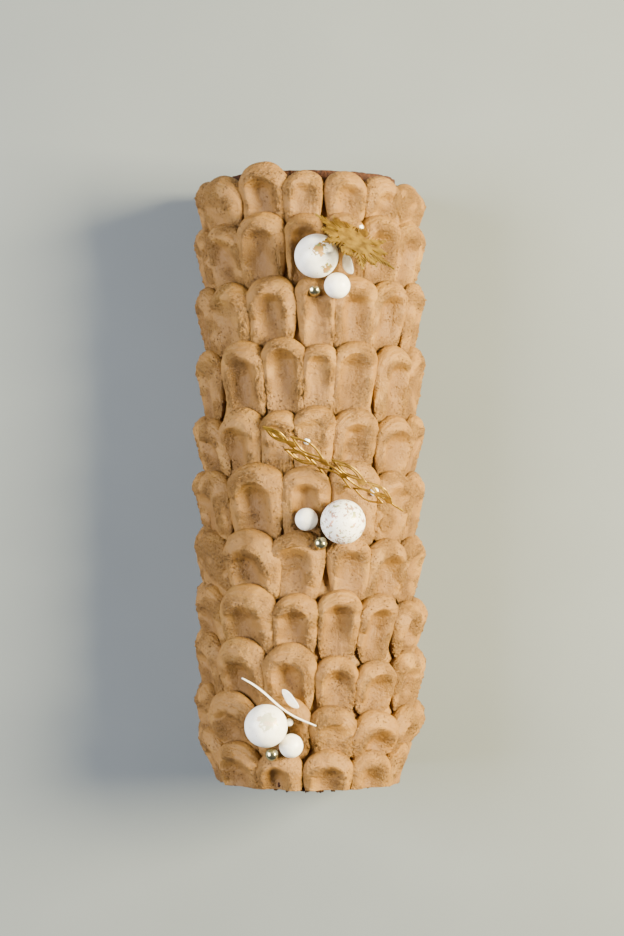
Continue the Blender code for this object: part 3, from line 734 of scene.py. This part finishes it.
# Small white balls and pearls
# The same shell without gold, about 10 mm across, and pressed sugar pearls of 3 to 4 mm.
# They rest in the hollows beside the large balls.
NO_FLECKS = 1.5
plain_shell = shell_finish(None, "plain_white_chocolate", NO_FLECKS, 0.0, (LEAF_OLIVE, LEAF_GOLD, LEAF_ROSE),
                           [])
for count in (1, 2, 3):
    add_ball_piece(f"ball_small_{count}", f"small_white_ball_{count}", 48, 0.010, plain_shell)
for count in (1, 2, 3, 4):
    add_ball_piece(f"pearl_{count}", f"sugar_pearl_{count}", 24, 0.02, plain_shell)

# Champagne dragees
# Sugar pearls panned in a thin bright metallic coat, 6 mm across.
# One lies under each group of balls.
CHAMPAGNE = "#BDB58E"
dragee_finish, where = new_finish("champagne_metal_sugar_coat")
# Pale greenish gold, bright, with the faint orange-peel of a sugar coat
peel = add_noise(dragee_finish, where, 900.0, 2.0)
bumps = add_bump(dragee_finish, peel.outputs["Fac"], 0.0002, 0.5)
add_skin(dragee_finish, {
    "Base Color": to_linear(CHAMPAGNE), "Metallic": 1.0, "Roughness": 0.22, "Normal": bumps})
for count in (1, 2, 3):
    add_ball_piece(f"dragee_{count}", f"champagne_dragee_{count}", 40, 0.008, dragee_finish)

# Gold snowflake
# A thin mirror plate cut into feathered rays round a solid middle, pressed in on edge beside a ball.
# It leans well back, so from above it is a narrow fan of gold spikes.
FLAKE_RADIUS = 0.0205
FLAKE_HUB_RADIUS = 0.0085
FLAKE_RAYS = 12
FLAKE_SHORT_RAY = 0.80
FLAKE_THICKNESS = 0.0008
RAY_START_SHARE = 0.8
RAY_WIDTH = 0.0013
RAY_TIP_WIDTH = 0.0005
BARBS_ON_A_SIDE = 4
BARB_LENGTH = 0.0062
BARB_SHORTENING = 0.0011
BARB_WIDTH = 0.0009
BARB_TIP_WIDTH = 0.0004
BARB_SPREAD = math.radians(30)
FLAKE_CENTRE = (0.0191, 0.1012, 0.0845)
FLAKE_HEADING = math.radians(-35)
FLAKE_LEAN = math.radians(-58)
GOLD_DEEP = "#6A4C16"
GOLD_BRIGHT = "#A8832C"

gold_finish, where = new_finish("gold_mirror_plate")
# Olive gold, satin and slightly uneven, so its rays catch the light one by one
wear = add_noise(gold_finish, where, 240.0, 4.0)
gold_colour = colour_ramp(gold_finish, wear.outputs["Fac"], [(0.35, GOLD_DEEP), (0.62, GOLD_BRIGHT)])
bumps = add_bump(gold_finish, wear.outputs["Fac"], 0.0008, 0.6)
add_skin(gold_finish, {"Base Color": gold_colour, "Metallic": 0.75, "Roughness": 0.42, "Normal": bumps})


def thicken(bm, flat_verts, thickness):
    """Draw a flat shape up to its thickness, and give back the verts of its upper face."""
    faces = list({face for vert in flat_verts for face in vert.link_faces})
    far = made_verts(bmesh.ops.extrude_face_region(bm, geom=faces))
    bmesh.ops.translate(bm, verts=far, vec=(0, 0, thickness))
    return far


def add_bar(bm, start, angle, length, width, tip_width, thickness):
    """A flat tapered bar in the XY plane, from its start along the angle."""
    made = bmesh.ops.create_grid(bm, x_segments=1, y_segments=1, size=1.0)["verts"]
    for vert in made:
        share = (vert.co.x + 1) / 2
        half = (width + (tip_width - width) * share) / 2
        vert.co = Vector((share * length, vert.co.y * half, -thickness / 2))
    far = thicken(bm, made, thickness)
    placing = Matrix.Translation((*start, 0.0)) @ Matrix.Rotation(angle, 4, "Z")
    bmesh.ops.transform(bm, matrix=placing, verts=made + far)


def stand_plate(bm, centre, heading, lean):
    """Stand a flat plate over the log: turned to its heading, then leant from flat about its length."""
    placing = Matrix.Translation(centre) @ Matrix.Rotation(heading, 4, "Z") @ Matrix.Rotation(lean, 4, "X")
    bmesh.ops.transform(bm, matrix=placing, verts=bm.verts)
    bmesh.ops.recalc_face_normals(bm, faces=bm.faces)


flake = bmesh.new()
draw = random.Random(RANDOM_SEED)
hub = bmesh.ops.create_circle(flake, cap_ends=True, segments=36, radius=FLAKE_HUB_RADIUS)["verts"]
bmesh.ops.translate(flake, verts=hub, vec=(0, 0, -FLAKE_THICKNESS / 2))
thicken(flake, hub, FLAKE_THICKNESS)
for ray in range(FLAKE_RAYS):
    angle = 2 * math.pi * ray / FLAKE_RAYS
    reach = FLAKE_RADIUS * (1.0 if ray % 2 == 0 else FLAKE_SHORT_RAY)
    outwards = Vector((math.cos(angle), math.sin(angle)))
    ray_start = FLAKE_HUB_RADIUS * RAY_START_SHARE
    add_bar(flake, outwards * ray_start, angle, reach - ray_start, RAY_WIDTH, RAY_TIP_WIDTH,
            FLAKE_THICKNESS * 0.94)
    for barb in range(BARBS_ON_A_SIDE):
        root = FLAKE_HUB_RADIUS * 0.86 + (reach - FLAKE_HUB_RADIUS) * barb / 4.6
        for side in (-1, 1):
            barb_length = (BARB_LENGTH - BARB_SHORTENING * barb) * draw.uniform(0.85, 1.1)
            add_bar(flake, outwards * root, angle + side * BARB_SPREAD, barb_length, BARB_WIDTH,
                    BARB_TIP_WIDTH, FLAKE_THICKNESS * (0.88 - 0.04 * side))
stand_plate(flake, FLAKE_CENTRE, FLAKE_HEADING, FLAKE_LEAN)
finish_piece(flake, "gold_feather_snowflake", gold_finish, ["gold_snowflake"], smooth=False)

# Gold scroll
# Thin strokes of gold mirror plate: a waving stem with long open leaf loops on both sides, small
# solid lozenges where they meet, and a long thin tail. It stands on edge and leans over.
SCROLL_LENGTH = 0.0697
SCROLL_STROKE = 0.0009
SCROLL_THICKNESS = 0.0005
STEM_WAVE = 0.0016
STEM_WAVE_COUNT = 2.4
STEM_CALM_FROM = 0.70
LOZENGE_WIDTH = 0.0044
LOZENGE_TIP_WIDTH = 0.0012
LOZENGE_SLANT = -12
SCROLL_CENTRE = (0.0102, 0.0042, 0.0805)
SCROLL_HEADING = math.radians(-30)
SCROLL_LEAN = math.radians(60)


def add_stroke(bm, path, steps, width, thickness):
    """A flat stroke in the XY plane, whose path and width are functions of the share of its length."""
    made = bmesh.ops.create_grid(bm, x_segments=steps, y_segments=1, size=1.0)["verts"]
    for vert in made:
        share = (vert.co.x + 1) / 2
        here = path(share)
        ahead = (path(share + 0.002) - path(share - 0.002)).normalized()
        vert.co = (here + Vector((-ahead.y, ahead.x)) * vert.co.y * width(share) / 2).to_3d()
        vert.co.z = -thickness / 2
    thicken(bm, made, thickness)


def stem_path(share):
    """The stem waves along the scroll's length and runs out in a straight tail."""
    calm = float(smooth_step(1.0, STEM_CALM_FROM, share))
    wave = STEM_WAVE * calm * math.sin(2 * math.pi * (share * STEM_WAVE_COUNT + 0.1))
    return Vector(((share - 0.5) * SCROLL_LENGTH, wave - 0.0012 * share))


def loop_path(middle, length, height, slant):
    """A closed leaf-shaped loop, pointed at both ends and turned by its slant."""
    def path(share):
        turn = 2 * math.pi * share
        flat = Vector((math.cos(turn) * length / 2, math.sin(turn) ** 3 * height / 2))
        return middle + Matrix.Rotation(slant, 2) @ flat
    return path


# Each loop: its middle's x and y, length, height and slant in degrees
SCROLL_LOOPS = (
    (-0.0285, 0.0008, 0.0130, 0.0064, -6), (-0.0145, 0.0046, 0.0165, 0.0080, -9),
    (-0.0150, -0.0050, 0.0150, 0.0076, 8), (0.0020, -0.0060, 0.0165, 0.0084, -5),
    (0.0060, 0.0052, 0.0175, 0.0078, -8), (0.0185, -0.0048, 0.0140, 0.0080, 6),
    (0.0215, 0.0038, 0.0120, 0.0064, -10),
)
# Each lozenge: its middle's x and y, and length
SCROLL_LOZENGES = ((-0.0210, 0.0006, 0.0042), (-0.0050, 0.0012, 0.0050), (0.0050, -0.0006, 0.0034),
                   (0.0128, 0.0022, 0.0040), (0.0272, 0.0000, 0.0036))
scroll = bmesh.new()
add_stroke(scroll, stem_path, 90, lambda share: SCROLL_STROKE * (1.5 - 0.6 * share), SCROLL_THICKNESS)
for count, (x, y, length, height, slant) in enumerate(SCROLL_LOOPS):
    thickness = SCROLL_THICKNESS * (0.90 - 0.02 * count)
    for shrink, stroke in ((1.0, 1.0), (0.60, 0.7))[:2 - count % 2]:
        add_stroke(scroll, loop_path(Vector((x, y)), length * shrink, height * shrink, math.radians(slant)),
                   56, lambda share: SCROLL_STROKE * stroke, thickness)
for x, y, length in SCROLL_LOZENGES:
    for slant in (LOZENGE_SLANT, LOZENGE_SLANT + 180):
        add_bar(scroll, (x, y), math.radians(slant), length / 2, LOZENGE_WIDTH, LOZENGE_TIP_WIDTH,
                SCROLL_THICKNESS * 0.97)
stand_plate(scroll, SCROLL_CENTRE, SCROLL_HEADING, SCROLL_LEAN)
finish_piece(scroll, "gold_open_scroll", gold_finish, ["gold_scroll"], smooth=False)

# White leaves
# Three thin leaves of white sugar paste, curled as they dried. The long one stands on edge behind
# a ball with a slight twist, and the two small ones lie back against the cream.
# Each leaf: node, length, width, middle, heading, lean and twist in degrees, and height of its wave
LEAVES = (
    ("white_leaf_long", 0.038, 0.0058, (-0.0136, -0.0962, 0.0785), -33, 88, -12, 0.0010),
    ("white_leaf_round", 0.0105, 0.0042, (-0.0084, -0.0946, 0.0768), -49, 30, 0, 0.0004),
    ("white_leaf_small", 0.009, 0.0050, (0.0165, 0.0925, 0.0755), -70, 35, 0, 0.0004),
)
LEAF_THICKNESS = 0.0006
LEAF_CUP = 0.08
LEAF_WHITE = "#F6EFE6"
LEAF_SHADE = "#E6DACB"

leaf_finish, where = new_finish("thin_white_sugar_leaf")
# Satin white that lets some light through, faintly mottled
fibres = add_noise(leaf_finish, where, 420.0, 4.0)
leaf_colour = colour_ramp(leaf_finish, fibres.outputs["Fac"], [(0.35, LEAF_SHADE), (0.6, LEAF_WHITE)])
bumps = add_bump(leaf_finish, fibres.outputs["Fac"], 0.0003, 0.5)
add_skin(leaf_finish, {
    "Base Color": leaf_colour, "Roughness": 0.45, "Normal": bumps,
    "Subsurface Weight": 0.35, "Subsurface Radius": (0.002, 0.002, 0.0018), "Subsurface Scale": 1.0})

for name, length, width, centre, heading, lean, twist, wave in LEAVES:
    leaf = bmesh.new()
    bmesh.ops.create_grid(leaf, x_segments=48, y_segments=12, size=1.0)
    upper = set(made_verts(bmesh.ops.extrude_face_region(leaf, geom=list(leaf.faces))))
    for vert in leaf.verts:
        x, y = vert.co.x, vert.co.y
        spread = max(1 - x * x, 0.0) ** 0.6 + 0.02
        swell = LEAF_THICKNESS / 2 * (1 - 0.55 * y * y)
        lift = swell if vert in upper else -swell
        ripple = wave * math.sin(3.2 * x + 0.6) + LEAF_CUP * width * y * y * spread
        flat = Vector((x * length / 2, y * width / 2 * spread, ripple + lift))
        vert.co = Matrix.Rotation(math.radians(twist) * (x + 1) / 2, 3, "X") @ flat
    stand_plate(leaf, centre, math.radians(heading), math.radians(lean))
    finish_piece(leaf, name + "_blade", leaf_finish, [name])

# Table, light and camera
# A plain pale table, a broad window light from the right and a weak one from the left.
TABLE_PALE = "#65696B"
TABLE_SHADE = "#5F6365"
TABLE_HALF_WIDTH = 6.0
TABLE_GAP = 0.0005
LOG_MIDDLE = (0, 0, 0.03)
ROOM_TINT = (0.78, 0.87, 1.0, 1.0)
ROOM_STRENGTH = 0.16
CAMERA_HEIGHT = 0.900
VIEW_HEIGHT = 0.440
VIEW_CENTRE = (0.0009, 0.0047)
SENSOR = 36.0

table_finish, where = new_finish("pale_painted_board")
# Flat pale grey paint with faint cloudy brushing
cloud = add_noise(table_finish, where, 7.0, 6.0)
paint = colour_ramp(table_finish, cloud.outputs["Fac"], [(0.3, TABLE_SHADE), (0.7, TABLE_PALE)])
add_skin(table_finish, {"Base Color": paint, "Roughness": 0.7})
table = bmesh.new()
bmesh.ops.create_grid(table, x_segments=4, y_segments=4, size=TABLE_HALF_WIDTH)
table_mesh = bpy.data.meshes.new("table")
table.to_mesh(table_mesh)
table.free()
table_mesh.materials.append(table_finish)
table_piece = bpy.data.objects.new("table", table_mesh)
bpy.context.scene.collection.objects.link(table_piece)
table_piece.location = (0.0, 0.0, -TABLE_GAP)


def add_light(name, place, size, power, colour):
    """A square soft light, turned to the log."""
    lamp = bpy.data.lights.new(name, "AREA")
    lamp.shape = "SQUARE"
    lamp.size = size
    lamp.energy = power
    lamp.color = colour
    item = bpy.data.objects.new(name, lamp)
    item.location = place
    item.rotation_euler = (Vector(LOG_MIDDLE) - Vector(place)).to_track_quat("-Z", "Y").to_euler()
    bpy.context.scene.collection.objects.link(item)


add_light("window_right", (1.08, 0.18, 0.80), size=0.55, power=166.0, colour=(1.0, 0.92, 0.61))
add_light("window_left", (-1.20, 0.10, 1.00), size=0.8, power=70.0, colour=(0.92, 0.96, 1.0))
world = bpy.data.worlds.new("soft_room")
world.use_nodes = True
background = world.node_tree.nodes["Background"]
background.inputs["Color"].default_value = ROOM_TINT
background.inputs["Strength"].default_value = ROOM_STRENGTH
bpy.context.scene.world = world

camera_data = bpy.data.cameras.new("overhead_camera")
camera_data.sensor_width = SENSOR
camera_data.lens = SENSOR * CAMERA_HEIGHT / VIEW_HEIGHT
camera = bpy.data.objects.new("overhead_camera", camera_data)
camera.location = (*VIEW_CENTRE, CAMERA_HEIGHT)
bpy.context.scene.collection.objects.link(camera)
bpy.context.scene.camera = camera
